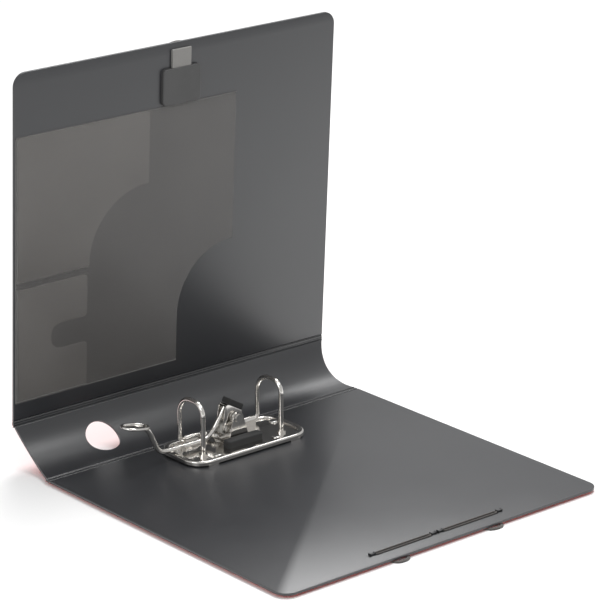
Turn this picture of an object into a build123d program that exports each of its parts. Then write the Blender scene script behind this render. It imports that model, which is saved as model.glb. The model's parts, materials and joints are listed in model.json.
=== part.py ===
from build123d import *
import os
from math import asin, cos, degrees, radians, sin

# Lever arch file, A4, standing open: the back cover lies flat, the curved spine rises from
# its far edge, and the front cover stands on the spine.
# X runs along the spine, from the bottom edge of the file (-X) to its top edge (+X).
# Y runs from the back cover's fore-edge to the spine. Z is up, and z = 0 is the table.
# On a cover, v is the distance from its hinge line and h the height above its inner face.

os.makedirs("parts", exist_ok=True)

# Covers and spine
HEIGHT = 318.0          # along the spine
DEPTH = 286.0           # a cover, from hinge line to fore-edge
CHORD = 57.0            # the spine, straight across from hinge line to hinge line
SAGITTA = 10.0          # how far the spine bows out of that chord
SPINE_OPEN = 143.0      # angle inside the back hinge as the file stands open
COVER_OPEN = 124.0      # angle inside the front hinge as the file stands open
SKIN = 1.0              # coloured outer sheet
LINING = 1.5            # dark inner board
HINGE_GAP = 3.0         # from a hinge line to the edge of a panel
HINGE_WEB = 1.5         # thickness of the living hinge
CORNER_R = 11.0         # fore-edge corners
SCOOP = 6.0             # how far the spine's ends are hollowed
HOLE_R = 14.75          # finger hole
HOLE_X = -85.0

# Label holder on the spine
LABEL_LOW = 19.0        # lower end, along X
LABEL_LENGTH = 111.0
LABEL_WIDTH = 37.0
LABEL_RIM = 1.5         # welded edge of the film
FILM = 0.3
CARD = 0.3
CARD_ROOM = 0.3         # clearance on each side of the card

# Film pockets inside the front cover
POCKET = 0.5
POCKET_INSET = 1.5      # from the cover's bottom edge
POCKET_LOW = 17.0       # v of the lowest weld
LARGE_POCKET = 215.0              # along X
LARGE_CUT = 56.0                  # radius of the cut at its open lower corner
LARGE_KNEE = 38.0                 # above the lowest weld, where that cut begins
UPPER_POCKET = (128.0, 118.0)     # along X, along v
UPPER_CUT = 58.0
LOWER_POCKET = (68.5, 95.0)
THUMB_NOTCH = (35.0, 21.0)        # length, width
THUMB_LOW = 38.0                  # above the lowest weld
POCKET_ROOM = 1.0                 # below the backing plate

# Ring button, its backing plate and the pull strap
RING_IN = 20.0          # ring centre, from the fore-edge
RING_DEPTH = 38.0
RING_LENGTH = 42.0
RING_BAND = 7.0         # width of the flange
RING_LEDGE = 4.0        # how far the flange overhangs the neck
NECK = 2.5
FLANGE = 2.2
PEG_R = 1.3
PEG_ROOM = 0.05
PLATE_IN = 20.0         # plate's outer edge, from the fore-edge
PLATE_LENGTH = 37.6
PLATE_DEPTH = 30.0
PLATE = 3.2
STRAP_WIDTH = 18.5
STRAP_OUT = 15.0        # how far it stands out of the plate
STRAP_TUCK = 8.0        # how far it runs in under the plate
STRAP = 1.1

# Elastic
ELASTIC_WIDTH = 3.0
ELASTIC = 1.6
ELASTIC_IN = 14.0       # holes, from the fore-edge
ELASTIC_X = 64.0        # outer holes, from the middle
ELASTIC_MID = 3.5       # inner holes, from the middle
ELASTIC_FOLD = 46.0     # where it turns back round the fore-edge, from the middle
FOLD_OUT = 2.6          # how far outside the fore-edge its two runs would meet
FOLD_R = 1.8
HOOK_R = 14.0           # bend round the ring button
EYELET_R = 1.7
RUN_WIDTH = 4.2         # the doubled inner run, over both strands
RUN_STRAND = 1.3
CLIP = (5.0, 3.0, 2.2)

# Lever arch mechanism, on the back cover
PLATE_X = 118.0
PLATE_Y = 54.0
PLATE_V = 33.0          # its middle
PLATE_R = 16.0
RIM_WIDTH = 5.0
RIM_LOW = 1.2
RIM_TOP = 4.8
FLOOR_LOW = 2.0
FLOOR_TOP = 3.0
FOOT = (10.0, 5.0)
FOOT_X = 42.0
RING_SPACING = 80.0
POST_V = 44.0
POST_R = 2.0
SEAM = 35.0             # top of the posts
SEAM_ROOM = 0.2
WIRE_R = 1.9
ROD_V = 14.0
ROD_H = 7.0
ARCH_TOP = 45.6         # middle of the wire
ARCH_BEND = 15.0
CRANK = 11.0            # how far the crank stands out of the rod
CRANK_X = (-13.0, 17.0)
WIRE_BEND = 4.0
RUNNING = 0.06          # radial clearance of what turns
SEATED = 0.03           # radial clearance of what is riveted in
SADDLE_X = 30.0
SADDLE = 12.0
SADDLE_WALL = 1.0
PIVOT = (1.5, 22.4)     # x and h of the lever's pin
PIN_R = 2.0
ROLLER_ARM = 12.0       # from the lever's pin to the roller's
ROLLER_R = 5.0
ROLLER_PIN_R = 1.5
ROLLER_WIDTH = 6.9
LEVER_V = 28.15         # middle of the lever and roller
CHEEK = 1.1
SIDE_ROOM = 0.2
EAR = 1.2
EAR_V = (16.9, 36.2)
BRACKET_X = (-8.0, 12.0)
LEVER_TOP = (-5.5, 31.0)
LEVER_REAR = (6.5, 24.9)
LEVER_LOW = 8.0         # h of the lever's straight run
LEVER_FOOT = -21.0      # x where it starts to rise
LEVER_HEEL = -71.0      # x where it turns up to the grip
LEVER_NECK = (-85.0, 34.3)
LEVER_TIP = (-101.0, 37.3)
LEVER_SECTION = (5.0, 3.2)
GRIP = (22.0, 16.0, 2.6)
CAP_GAP = (4.9, 4.1)    # from the top and the rear of the cheeks to the cap
CAP_TUCK = 0.6          # how far the cap reaches in towards them
CAP_SIDE = 0.3          # overhang past each cheek
CAP_RISE = 2.2          # thickness of the cap on the cheeks
CAP_EASE = 0.8
PIN_HEAD = (1.3, 1.0)   # the lever pin's heads: how far they overhang, thickness
SPRING_BORE = 0.4       # clearance of the spring round the pin
SPRING_OUT = 2.4        # from the pin to the spring's outside
SPRING_ENDS = (0.4, 0.3)          # clearance to the cheek, to the ear
ROLLER_HEAD = (1.0, 0.8)          # the roller pin's heads, the same way
BLOCK = (36.0, 8.5, 6.0)
BLOCK_AT = (2.0, 42.3)
RIVET_HEAD = 3.5
RIVET_FOOT = 5.0
RIVET_R = 1.95
RIVET_AT = ((50.0, 22.0), (30.0, 50.0))

# Worked out from the sizes above
BOARD = SKIN + LINING
LIFT = ELASTIC                              # the elastic lies between cover and table
Z_MID = LIFT + BOARD / 2
Z_IN = LIFT + BOARD
FRONT_HEADING = SPINE_OPEN + COVER_OPEN - 180
REACH = -CHORD * cos(radians(SPINE_OPEN)) + BOARD / 2
FOLD_REACH = FOLD_OUT + ELASTIC_WIDTH / 3   # the elastic stands out of the fore-edge about so far
HINGE_Y = (DEPTH + FOLD_REACH - REACH) / 2  # so that the origin is under the middle
EDGE_Y = HINGE_Y - DEPTH
SPINE_R = (CHORD**2 / 4 + SAGITTA**2) / (2 * SAGITTA)
SPINE_HALF = degrees(asin(CHORD / 2 / SPINE_R))
SPINE_MID = 90 - SPINE_OPEN                 # direction of the spine's crown, from +Y
GAP_ANGLE = degrees(HINGE_GAP / SPINE_R)
LEVER_SIDE = ROLLER_WIDTH / 2 + SIDE_ROOM


def heading(angle):
    """Unit vector square to the spine, turned from the back cover's own direction."""
    return Vector(0, -cos(radians(angle)), sin(radians(angle)))


back_hinge_at = Vector(0, HINGE_Y, Z_MID)
front_hinge_at = back_hinge_at + heading(SPINE_OPEN) * CHORD
spine_centre = (back_hinge_at + front_hinge_at) * 0.5 + heading(SPINE_OPEN - 90) * (SPINE_R - SAGITTA)
spine_axis_at = (spine_centre.Y, spine_centre.Z)

back_mid = Plane(origin=back_hinge_at, x_dir=(1, 0, 0), z_dir=heading(90))
back_inner = back_mid.offset(BOARD / 2)
front_mid = Plane(origin=front_hinge_at, x_dir=(1, 0, 0), z_dir=heading(FRONT_HEADING - 90))
front_inner = front_mid.offset(BOARD / 2)
front_outer = Plane(
    origin=front_hinge_at - heading(FRONT_HEADING - 90) * (BOARD / 2),
    x_dir=(1, 0, 0),
    z_dir=heading(FRONT_HEADING + 90),
)
spine_out = Plane(origin=spine_centre, x_dir=(1, 0, 0), z_dir=heading(SPINE_OPEN + 90))


def across(v):
    """Plane square to the covers' hinges' own run, at v on the back cover, facing its fore-edge."""
    return Plane.XZ.offset(v - HINGE_Y)


def finish(builder, name):
    """Label a finished piece and write it to its own file."""
    builder.part.label = name
    export_step(builder.part, f"parts/{name}.step")


def cover(plane, side, thickness, holes):
    """One layer of a cover on its plane; side is the way from hinge to fore-edge along local y."""
    with BuildPart() as sheet:
        with BuildSketch(plane) as outline:
            with Locations((0, side * (HINGE_GAP + DEPTH) / 2)):
                Rectangle(HEIGHT, DEPTH - HINGE_GAP)
            fore = outline.vertices().sort_by(Axis.Y)
            fillet(fore[-2:] if side > 0 else fore[:2], CORNER_R)
            for x, v, r in holes:
                with Locations((x, side * v)):
                    Circle(r, mode=Mode.SUBTRACT)
        extrude(amount=thickness)
    return sheet


def spine_band(low, high, start, size):
    """Closed profile of a curved layer round the spine's centre, between two radii."""
    outer = CenterArc(spine_axis_at, high, start, size)
    inner = CenterArc(spine_axis_at, low, start, size)
    Line(outer @ 0, inner @ 0)
    Line(outer @ 1, inner @ 1)


with BuildPart() as end_scoops:
    scoop_r = (CHORD**2 / 4 + SCOOP**2) / (2 * SCOOP)
    with BuildSketch(spine_out):
        with Locations((-HEIGHT / 2 - scoop_r + SCOOP, 0), (HEIGHT / 2 + scoop_r - SCOOP, 0)):
            Circle(scoop_r)
    extrude(amount=2 * SPINE_R)


def spine_layer(low, high):
    """One layer of the spine, with scooped ends and the finger hole."""
    with BuildPart() as sheet:
        with BuildSketch(Plane.YZ.offset(-HEIGHT / 2)):
            with BuildLine():
                spine_band(low, high, SPINE_MID - SPINE_HALF + GAP_ANGLE, 2 * (SPINE_HALF - GAP_ANGLE))
            make_face()
        extrude(amount=HEIGHT)
        add(end_scoops.part, mode=Mode.SUBTRACT)
        with BuildSketch(spine_out):
            with Locations((HOLE_X, 0)):
                Circle(HOLE_R)
        extrude(amount=2 * SPINE_R, mode=Mode.SUBTRACT)
    return sheet


def living_hinge(hinge, direction, start):
    """Thin web from a cover's edge, over the hinge line, to the spine's edge."""
    with BuildPart() as web:
        with BuildSketch(Plane.YZ.offset(-HEIGHT / 2)):
            with BuildLine():
                spine_band(SPINE_R - HINGE_WEB / 2, SPINE_R + HINGE_WEB / 2, start, GAP_ANGLE)
            make_face()
            middle = hinge + direction * (HINGE_GAP / 2)
            with Locations((middle.Y, middle.Z)):
                slope = Vector(direction.Y, direction.Z).get_signed_angle(Vector(1, 0), Vector(0, 0, -1))
                Rectangle(HINGE_GAP, HINGE_WEB, rotation=slope)
            with Locations((hinge.Y, hinge.Z)):
                Circle(HINGE_WEB / 2)
        extrude(amount=HEIGHT)
        add(end_scoops.part, mode=Mode.SUBTRACT)
    return web


# Covers, each a coloured skin on a dark board
elastic_ends = (-ELASTIC_X, -ELASTIC_MID, ELASTIC_MID, ELASTIC_X)
elastic_holes = [(x, DEPTH - ELASTIC_IN, EYELET_R) for x in elastic_ends]
rivet_places = [(side * x, v) for x, v in RIVET_AT for side in (-1, 1)]
rivet_holes = [(x, v, RIVET_R + SEATED) for x, v in rivet_places]
peg_round = (RING_DEPTH - RING_BAND) / 2
peg_along = (RING_LENGTH - RING_BAND) / 2
peg_places = [
    (peg_along * sin(radians(turn)), DEPTH - RING_IN - peg_round * cos(radians(turn)))
    for turn in (-45, 0, 45)
]
peg_holes = [(x, v, PEG_R + PEG_ROOM) for x, v in peg_places]

back_skin = cover(back_mid.offset(-BOARD / 2), -1, SKIN, elastic_holes + rivet_holes)
finish(back_skin, "back_cover_skin")
back_lining = cover(back_mid.offset(SKIN - BOARD / 2), -1, LINING, elastic_holes + rivet_holes)
finish(back_lining, "back_cover_lining")
front_skin = cover(front_mid.offset(-BOARD / 2), 1, SKIN, peg_holes)
finish(front_skin, "front_cover_skin")
front_lining = cover(front_mid.offset(SKIN - BOARD / 2), 1, LINING, peg_holes)
finish(front_lining, "front_cover_lining")

# Spine and its living hinges
spine_skin = spine_layer(SPINE_R + BOARD / 2 - SKIN, SPINE_R + BOARD / 2)
finish(spine_skin, "spine_skin")
spine_lining = spine_layer(SPINE_R - BOARD / 2, SPINE_R + BOARD / 2 - SKIN)
finish(spine_lining, "spine_lining")
back_hinge = living_hinge(back_hinge_at, heading(0), SPINE_MID - SPINE_HALF)
finish(back_hinge, "back_hinge")
front_hinge = living_hinge(front_hinge_at, heading(FRONT_HEADING), SPINE_MID + SPINE_HALF - GAP_ANGLE)
finish(front_hinge, "front_hinge")

# Label holder: a clear film welded along three sides, open at the top end, and its card
SPINE_FACE = SPINE_R + BOARD / 2
CARD_GAP = CARD + 2 * CARD_ROOM


def curved_slab(low, high, width, start, length):
    """Curved slab on the spine's outside, width measured round the spine."""
    half = degrees(width / 2 / SPINE_FACE)
    with BuildPart() as slab:
        with BuildSketch(Plane.YZ.offset(start)):
            with BuildLine():
                spine_band(SPINE_FACE + low, SPINE_FACE + high, SPINE_MID - half, 2 * half)
            make_face()
        extrude(amount=length)
    return slab.part


holder_slab = curved_slab(0, CARD_GAP + FILM, LABEL_WIDTH, LABEL_LOW, LABEL_LENGTH)
card_pocket = curved_slab(
    -FILM, CARD_GAP, LABEL_WIDTH - 2 * LABEL_RIM, LABEL_LOW + LABEL_RIM, LABEL_LENGTH
)
card_slab = curved_slab(
    CARD_ROOM,
    CARD_ROOM + CARD,
    LABEL_WIDTH - 2 * (LABEL_RIM + CARD_ROOM),
    LABEL_LOW + LABEL_RIM + CARD_ROOM,
    LABEL_LENGTH - 2 * LABEL_RIM,
)

with BuildPart() as label_holder:
    add(holder_slab)
    add(card_pocket, mode=Mode.SUBTRACT)
finish(label_holder, "label_holder")

with BuildPart() as label_card:
    add(card_slab)
finish(label_card, "label_card")

# Pockets: flat films welded to the front cover's lining
POCKET_X = -HEIGHT / 2 + POCKET_INSET
POCKET_TOP = DEPTH - PLATE_IN - PLATE_DEPTH - POCKET_ROOM

with BuildPart() as large_pocket:
    right = POCKET_X + LARGE_POCKET
    cut = right - LARGE_CUT
    knee = POCKET_LOW + LARGE_KNEE
    shoulder = knee + LARGE_CUT
    with BuildSketch(front_inner):
        with BuildLine():
            Polyline((right, shoulder), (right, POCKET_TOP), (POCKET_X, POCKET_TOP))
            Polyline((POCKET_X, POCKET_TOP), (POCKET_X, POCKET_LOW), (cut, POCKET_LOW), (cut, knee))
            RadiusArc((cut, knee), (right, shoulder), LARGE_CUT)
        make_face()
    extrude(amount=POCKET)
finish(large_pocket, "large_pocket")

with BuildPart() as upper_pocket:
    right = POCKET_X + UPPER_POCKET[0]
    cut = right - UPPER_CUT
    low = POCKET_TOP - UPPER_POCKET[1]
    shoulder = low + UPPER_CUT
    with BuildSketch(front_inner.offset(POCKET)):
        with BuildLine():
            Polyline((right, shoulder), (right, POCKET_TOP), (POCKET_X, POCKET_TOP))
            Polyline((POCKET_X, POCKET_TOP), (POCKET_X, low), (cut, low))
            RadiusArc((cut, low), (right, shoulder), UPPER_CUT)
        make_face()
    extrude(amount=POCKET)
finish(upper_pocket, "upper_pocket")

with BuildPart() as lower_pocket:
    with BuildSketch(front_inner.offset(POCKET)):
        with Locations((POCKET_X + LOWER_POCKET[0] / 2, POCKET_LOW + LOWER_POCKET[1] / 2)):
            Rectangle(*LOWER_POCKET)
        with Locations((POCKET_X + LOWER_POCKET[0], POCKET_LOW + THUMB_LOW + THUMB_NOTCH[1] / 2)):
            SlotOverall(2 * THUMB_NOTCH[0], THUMB_NOTCH[1], mode=Mode.SUBTRACT)
    extrude(amount=POCKET)
finish(lower_pocket, "lower_pocket")

# Ring button on the outside of the front cover: a neck that the elastic hooks round, under a
# wider flange, with pegs that go through the cover into the backing plate
NECK_DEPTH = RING_DEPTH - 2 * RING_LEDGE
NECK_LENGTH = RING_LENGTH - 2 * RING_LEDGE
RING_AT = (0, -(DEPTH - RING_IN))

with BuildPart() as ring_button:
    with BuildSketch(front_outer):
        with Locations(RING_AT):
            Ellipse(NECK_LENGTH / 2, NECK_DEPTH / 2)
            Ellipse(RING_LENGTH / 2 - RING_BAND, RING_DEPTH / 2 - RING_BAND, mode=Mode.SUBTRACT)
    extrude(amount=NECK)
    with BuildSketch(front_outer.offset(NECK)):
        with Locations(RING_AT):
            Ellipse(RING_LENGTH / 2, RING_DEPTH / 2)
            Ellipse(RING_LENGTH / 2 - RING_BAND, RING_DEPTH / 2 - RING_BAND, mode=Mode.SUBTRACT)
    extrude(amount=FLANGE)
    rim = ring_button.faces().sort_by(Axis(front_outer.origin, front_outer.z_dir))[-1]
    fillet(rim.edges(), FLANGE * 0.4)
    with BuildSketch(front_outer):
        for x, v in peg_places:
            with Locations((x, -v)):
                Circle(PEG_R)
    extrude(amount=-(BOARD + PLATE / 2))
finish(ring_button, "ring_button")

# Backing plate inside the cover, and the folded pull strap that it clamps
PLATE_V_MID = DEPTH - PLATE_IN - PLATE_DEPTH / 2
STRAP_V = (DEPTH - PLATE_IN - STRAP_TUCK, DEPTH - PLATE_IN + STRAP_OUT)

with BuildPart() as backing_plate:
    with BuildSketch(front_inner):
        with Locations((0, PLATE_V_MID)):
            RectangleRounded(PLATE_LENGTH, PLATE_DEPTH, 3.5)
    extrude(amount=PLATE)
    top_face = backing_plate.faces().sort_by(Axis(front_inner.origin, front_inner.z_dir))[-1]
    fillet(top_face.edges(), PLATE * 0.3)
    with BuildSketch(front_inner):
        for x, v in peg_places:
            with Locations((x, v)):
                Circle(PEG_R + PEG_ROOM)
    extrude(amount=PLATE / 2 + PEG_ROOM, mode=Mode.SUBTRACT)
    with BuildSketch(front_inner):
        with Locations((0, sum(STRAP_V) / 2)):
            Rectangle(STRAP_WIDTH, STRAP_V[1] - STRAP_V[0])
    extrude(amount=2 * STRAP, mode=Mode.SUBTRACT)
finish(backing_plate, "backing_plate")

with BuildPart() as pull_strap:
    with BuildSketch(front_inner):
        with Locations((0, sum(STRAP_V) / 2)):
            Rectangle(STRAP_WIDTH, STRAP_V[1] - STRAP_V[0])
        for x, v in peg_places:
            with Locations((x, v)):
                Circle(PEG_R + PEG_ROOM, mode=Mode.SUBTRACT)
    extrude(amount=2 * STRAP)
finish(pull_strap, "pull_strap")

# Elastic: the loose outer strand lies under the back cover, folded back at the fore-edge, and
# swings over the fore-edge to hook round the ring button when the file is shut
RING_REACH = RING_IN + NECK_DEPTH / 2 + ELASTIC_WIDTH / 2 + 0.3
right_half = [
    (ELASTIC_X, EDGE_Y + ELASTIC_IN),
    (ELASTIC_FOLD, EDGE_Y - FOLD_OUT),
    (NECK_LENGTH / 2 * 0.53, EDGE_Y + RING_REACH),
]
strand_points = right_half + [(-x, y) for x, y in reversed(right_half)]

with BuildPart() as elastic_strand:
    with BuildSketch():
        with BuildLine():
            FilletPolyline(*strand_points, radius=[FOLD_R, HOOK_R, HOOK_R, FOLD_R])
        trace(line_width=ELASTIC_WIDTH)
    extrude(amount=ELASTIC)
finish(elastic_strand, "elastic_strand")

# Doubled inner runs, and the barbed clips that hold the ends in the holes
RUN_LENGTH = ELASTIC_X - ELASTIC_MID
RUN_X = (ELASTIC_X + ELASTIC_MID) / 2
RUN_SLOT = RUN_LENGTH - CLIP[0]

with BuildPart() as elastic_runs:
    with BuildSketch(back_inner):
        for side in (-1, 1):
            with Locations((side * RUN_X, -(DEPTH - ELASTIC_IN))):
                SlotOverall(RUN_SLOT, RUN_WIDTH)
                SlotOverall(RUN_SLOT - 2 * RUN_STRAND, RUN_WIDTH - 2 * RUN_STRAND, mode=Mode.SUBTRACT)
    extrude(amount=RUN_STRAND)
finish(elastic_runs, "elastic_runs")

with BuildPart() as elastic_clips:
    with BuildSketch(back_inner):
        for x, v, r in elastic_holes:
            with Locations((x, -v)):
                SlotOverall(CLIP[0], CLIP[1])
    extrude(amount=CLIP[2])
    with BuildSketch(back_inner):
        for x, v, r in elastic_holes:
            with Locations((x, -v)):
                Circle(EYELET_R - SEATED)
    extrude(amount=-BOARD)
finish(elastic_clips, "elastic_clips")

# Mechanism plate: a pressed floor in a rounded bead, standing on four feet
with BuildPart() as base_plate:
    with BuildSketch(back_inner.offset(RIM_LOW)):
        with Locations((0, -PLATE_V)):
            RectangleRounded(PLATE_X, PLATE_Y, PLATE_R)
            inside = (PLATE_X - 2 * RIM_WIDTH, PLATE_Y - 2 * RIM_WIDTH, PLATE_R - RIM_WIDTH)
            RectangleRounded(*inside, mode=Mode.SUBTRACT)
    extrude(amount=RIM_TOP - RIM_LOW)
    bead = base_plate.faces().sort_by(Axis.Z)[-1]
    fillet(bead.edges(), RIM_WIDTH * 0.3)
    with BuildSketch(back_inner.offset(FLOOR_LOW)):
        with Locations((0, -PLATE_V)):
            RectangleRounded(PLATE_X - RIM_WIDTH, PLATE_Y - RIM_WIDTH, PLATE_R - RIM_WIDTH / 2)
        for x, v in rivet_places:
            with Locations((x, -v)):
                Circle(RIVET_R + SEATED, mode=Mode.SUBTRACT)
    extrude(amount=FLOOR_TOP - FLOOR_LOW)
    with BuildSketch(back_inner):
        for side in (-1, 1):
            for row in (-1, 1):
                with Locations((side * FOOT_X, -PLATE_V + row * (PLATE_Y - FOOT[1]) / 2)):
                    Rectangle(*FOOT)
    extrude(amount=RIM_LOW + 0.5)
finish(base_plate, "base_plate")

with BuildPart() as mount_rivets:
    with Locations(*[back_inner.from_local_coords((x, -v, FLOOR_TOP)) for x, v in rivet_places]):
        Cylinder(RIVET_HEAD, 1.2, align=(Align.CENTER, Align.CENTER, Align.MIN))
        Cylinder(RIVET_R, FLOOR_TOP + BOARD, align=(Align.CENTER, Align.CENTER, Align.MAX))
    with Locations(*[(x, HINGE_Y - v, 0) for x, v in rivet_places]):
        Cylinder(RIVET_FOOT, LIFT, align=(Align.CENTER, Align.CENTER, Align.MIN))
    heads = mount_rivets.faces().group_by(Axis.Z)[-1]
    fillet(heads.edges(), 0.9)
finish(mount_rivets, "mount_rivets")

# Two fixed posts with collars
with BuildPart() as ring_posts:
    with BuildSketch(back_inner.offset(FLOOR_TOP)):
        with Locations((-RING_SPACING / 2, -POST_V), (RING_SPACING / 2, -POST_V)):
            Circle(POST_R)
    extrude(amount=SEAM - FLOOR_TOP)
    with BuildSketch(back_inner.offset(FLOOR_TOP)):
        with Locations((-RING_SPACING / 2, -POST_V), (RING_SPACING / 2, -POST_V)):
            Circle(POST_R + 1.6)
    extrude(amount=1.8)
finish(ring_posts, "ring_posts")


def on_plate(x, v, h):
    """Point over the back cover, from its place along the spine, its v and its h."""
    return Vector(x, HINGE_Y - v, Z_IN + h)


# Arches: one wire, from tip over and down to the rod, out to the crank, back and up again
ring_x = RING_SPACING / 2
arch_points = [
    on_plate(-ring_x, POST_V, SEAM + SEAM_ROOM),
    on_plate(-ring_x, POST_V, ARCH_TOP),
    on_plate(-ring_x, ROD_V, ARCH_TOP),
    on_plate(-ring_x, ROD_V, ROD_H),
    on_plate(CRANK_X[0], ROD_V, ROD_H),
    on_plate(CRANK_X[0], ROD_V + CRANK, ROD_H),
    on_plate(CRANK_X[1], ROD_V + CRANK, ROD_H),
    on_plate(CRANK_X[1], ROD_V, ROD_H),
    on_plate(ring_x, ROD_V, ROD_H),
    on_plate(ring_x, ROD_V, ARCH_TOP),
    on_plate(ring_x, POST_V, ARCH_TOP),
    on_plate(ring_x, POST_V, SEAM + SEAM_ROOM),
]
tip_bend = ARCH_TOP - SEAM - SEAM_ROOM - 0.2
arch_bends = [tip_bend, ARCH_BEND] + [WIRE_BEND] * 6 + [ARCH_BEND, tip_bend]

with BuildPart() as arch_frame:
    with BuildLine() as wire:
        FilletPolyline(*arch_points, radius=arch_bends)
    with BuildSketch(Plane(origin=wire.line @ 0, z_dir=wire.line % 0)):
        Circle(WIRE_R)
    sweep()
finish(arch_frame, "arch_frame")

# Saddles that hold the rod down on the plate
with BuildPart() as rod_saddles:
    for x in (-SADDLE_X, SADDLE_X):
        with BuildSketch(Plane.YZ.offset(x - SADDLE / 2)):
            rod = on_plate(0, ROD_V, ROD_H)
            wall = WIRE_R + SADDLE_WALL
            with Locations((rod.Y, rod.Z)):
                Circle(wall)
            with Locations((rod.Y, (rod.Z + Z_IN + FLOOR_TOP) / 2)):
                Rectangle(2 * wall, ROD_H - FLOOR_TOP)
            with Locations((rod.Y, rod.Z)):
                Circle(WIRE_R + RUNNING, mode=Mode.SUBTRACT)
        extrude(amount=SADDLE)
finish(rod_saddles, "rod_saddles")

# Lever bracket: two ears on a strap, with the pin's bores
pivot_at = (PIVOT[0], Z_IN + PIVOT[1])
roller_at = (PIVOT[0] - ROLLER_ARM * sin(radians(45)), Z_IN + PIVOT[1] - ROLLER_ARM * cos(radians(45)))

with BuildPart() as lever_bracket:
    for v in EAR_V:
        with BuildSketch(across(v)):
            with Locations(pivot_at):
                Circle(PIN_R + 3)
            with Locations((sum(BRACKET_X) / 2, Z_IN + FLOOR_TOP + 1)):
                Rectangle(BRACKET_X[1] - BRACKET_X[0], 2)
            make_hull()
            with Locations(pivot_at):
                Circle(PIN_R + SEATED, mode=Mode.SUBTRACT)
        extrude(amount=EAR)
    with BuildSketch(across(EAR_V[0])):
        with Locations((sum(BRACKET_X) / 2, Z_IN + FLOOR_TOP + EAR / 2)):
            Rectangle(BRACKET_X[1] - BRACKET_X[0], EAR)
    extrude(amount=EAR_V[1] + EAR - EAR_V[0])
finish(lever_bracket, "lever_bracket")

with BuildPart() as guide_block:
    with BuildSketch(back_inner.offset(FLOOR_TOP)):
        with Locations((BLOCK_AT[0], -BLOCK_AT[1])):
            RectangleRounded(BLOCK[0], BLOCK[1], 2.5)
    extrude(amount=BLOCK[2])
    fillet(guide_block.faces().sort_by(Axis.Z)[-1].edges(), 1.5)
finish(guide_block, "guide_block")

with BuildPart() as lever_pin:
    with BuildSketch(across(EAR_V[0])):
        with Locations(pivot_at):
            Circle(PIN_R)
    extrude(amount=EAR_V[1] + EAR - EAR_V[0])
    for v in (EAR_V[0] - PIN_HEAD[1], EAR_V[1] + EAR):
        with BuildSketch(across(v)):
            with Locations(pivot_at):
                Circle(PIN_R + PIN_HEAD[0])
        extrude(amount=PIN_HEAD[1])
finish(lever_pin, "lever_pin")

# Coil spring on the lever's pin, as a plain sleeve
SPRING_V = (LEVER_V + LEVER_SIDE + CHEEK + SPRING_ENDS[0], EAR_V[1] - SPRING_ENDS[1])

with BuildPart() as lever_spring:
    with BuildSketch(across(SPRING_V[0])):
        with Locations(pivot_at):
            Circle(PIN_R + SPRING_OUT)
            Circle(PIN_R + SPRING_BORE, mode=Mode.SUBTRACT)
    extrude(amount=SPRING_V[1] - SPRING_V[0])
finish(lever_spring, "lever_spring")

# Lever: two cheeks on the pin, a bar between them, the bent arm and its grip
lever_top = (LEVER_TOP[0], Z_IN + LEVER_TOP[1])
arm_points = [
    (LEVER_TIP[0], Z_IN + LEVER_TIP[1]),
    (LEVER_NECK[0], Z_IN + LEVER_NECK[1]),
    (LEVER_HEEL, Z_IN + LEVER_LOW),
    (LEVER_FOOT, Z_IN + LEVER_LOW),
    lever_top,
]

with BuildPart() as lever_arm:
    for v in (LEVER_V - LEVER_SIDE - CHEEK, LEVER_V + LEVER_SIDE):
        with BuildSketch(across(v)):
            with Locations(pivot_at, roller_at):
                Circle(4)
            with Locations(lever_top):
                Circle(3)
            with Locations((LEVER_REAR[0], Z_IN + LEVER_REAR[1])):
                Circle(2.2)
            make_hull()
            with Locations(pivot_at):
                Circle(PIN_R + RUNNING, mode=Mode.SUBTRACT)
            with Locations(roller_at):
                Circle(ROLLER_PIN_R + SEATED, mode=Mode.SUBTRACT)
        extrude(amount=CHEEK)
    with BuildSketch(across(LEVER_V - LEVER_SIDE - CHEEK)):
        with Locations(lever_top):
            Circle(2.9)
    extrude(amount=2 * (LEVER_SIDE + CHEEK))
    with BuildLine(across(LEVER_V)) as arm_line:
        FilletPolyline(*arm_points, radius=[7, 12, 9])
    with BuildSketch(Plane(origin=arm_line.line @ 0, x_dir=(0, 1, 0), z_dir=arm_line.line % 0)):
        Ellipse(LEVER_SECTION[0] / 2, LEVER_SECTION[1] / 2)
    sweep()
    slope = Vector(LEVER_NECK[0] - LEVER_TIP[0], 0, LEVER_NECK[1] - LEVER_TIP[1]).normalized()
    grip_at = on_plate(LEVER_TIP[0], LEVER_V, LEVER_TIP[1])
    grip_plane = Plane(origin=grip_at, x_dir=slope, z_dir=slope.cross(Vector(0, 1, 0)))
    with BuildSketch(grip_plane.offset(-GRIP[2] / 2)):
        with Locations((GRIP[0] * 0.3, 0)):
            RectangleRounded(GRIP[0], GRIP[1], GRIP[1] * 0.4)
    extrude(amount=GRIP[2])
finish(lever_arm, "lever_arm")

# Rounded plastic cap over the cheeks' top edge
CAP_V = (LEVER_V - LEVER_SIDE - CHEEK - CAP_SIDE, LEVER_V + LEVER_SIDE + CHEEK + CAP_SIDE)
cap_run = Vector(LEVER_REAR[0] - LEVER_TOP[0], LEVER_REAR[1] - LEVER_TOP[1])
cap_out = Vector(-cap_run.Y, cap_run.X).normalized()

with BuildPart() as lever_cap:
    with BuildSketch(across(CAP_V[0])):
        for (x, h), gap in zip((LEVER_TOP, LEVER_REAR), CAP_GAP):
            for r in (gap - CAP_TUCK, gap + CAP_RISE):
                with Locations((x + cap_out.X * r, Z_IN + h + cap_out.Y * r)):
                    Circle(1)
        make_hull()
    extrude(amount=CAP_V[1] - CAP_V[0])
    fillet(lever_cap.faces().filter_by(Axis.Y).edges(), CAP_EASE)
finish(lever_cap, "lever_cap")

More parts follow.
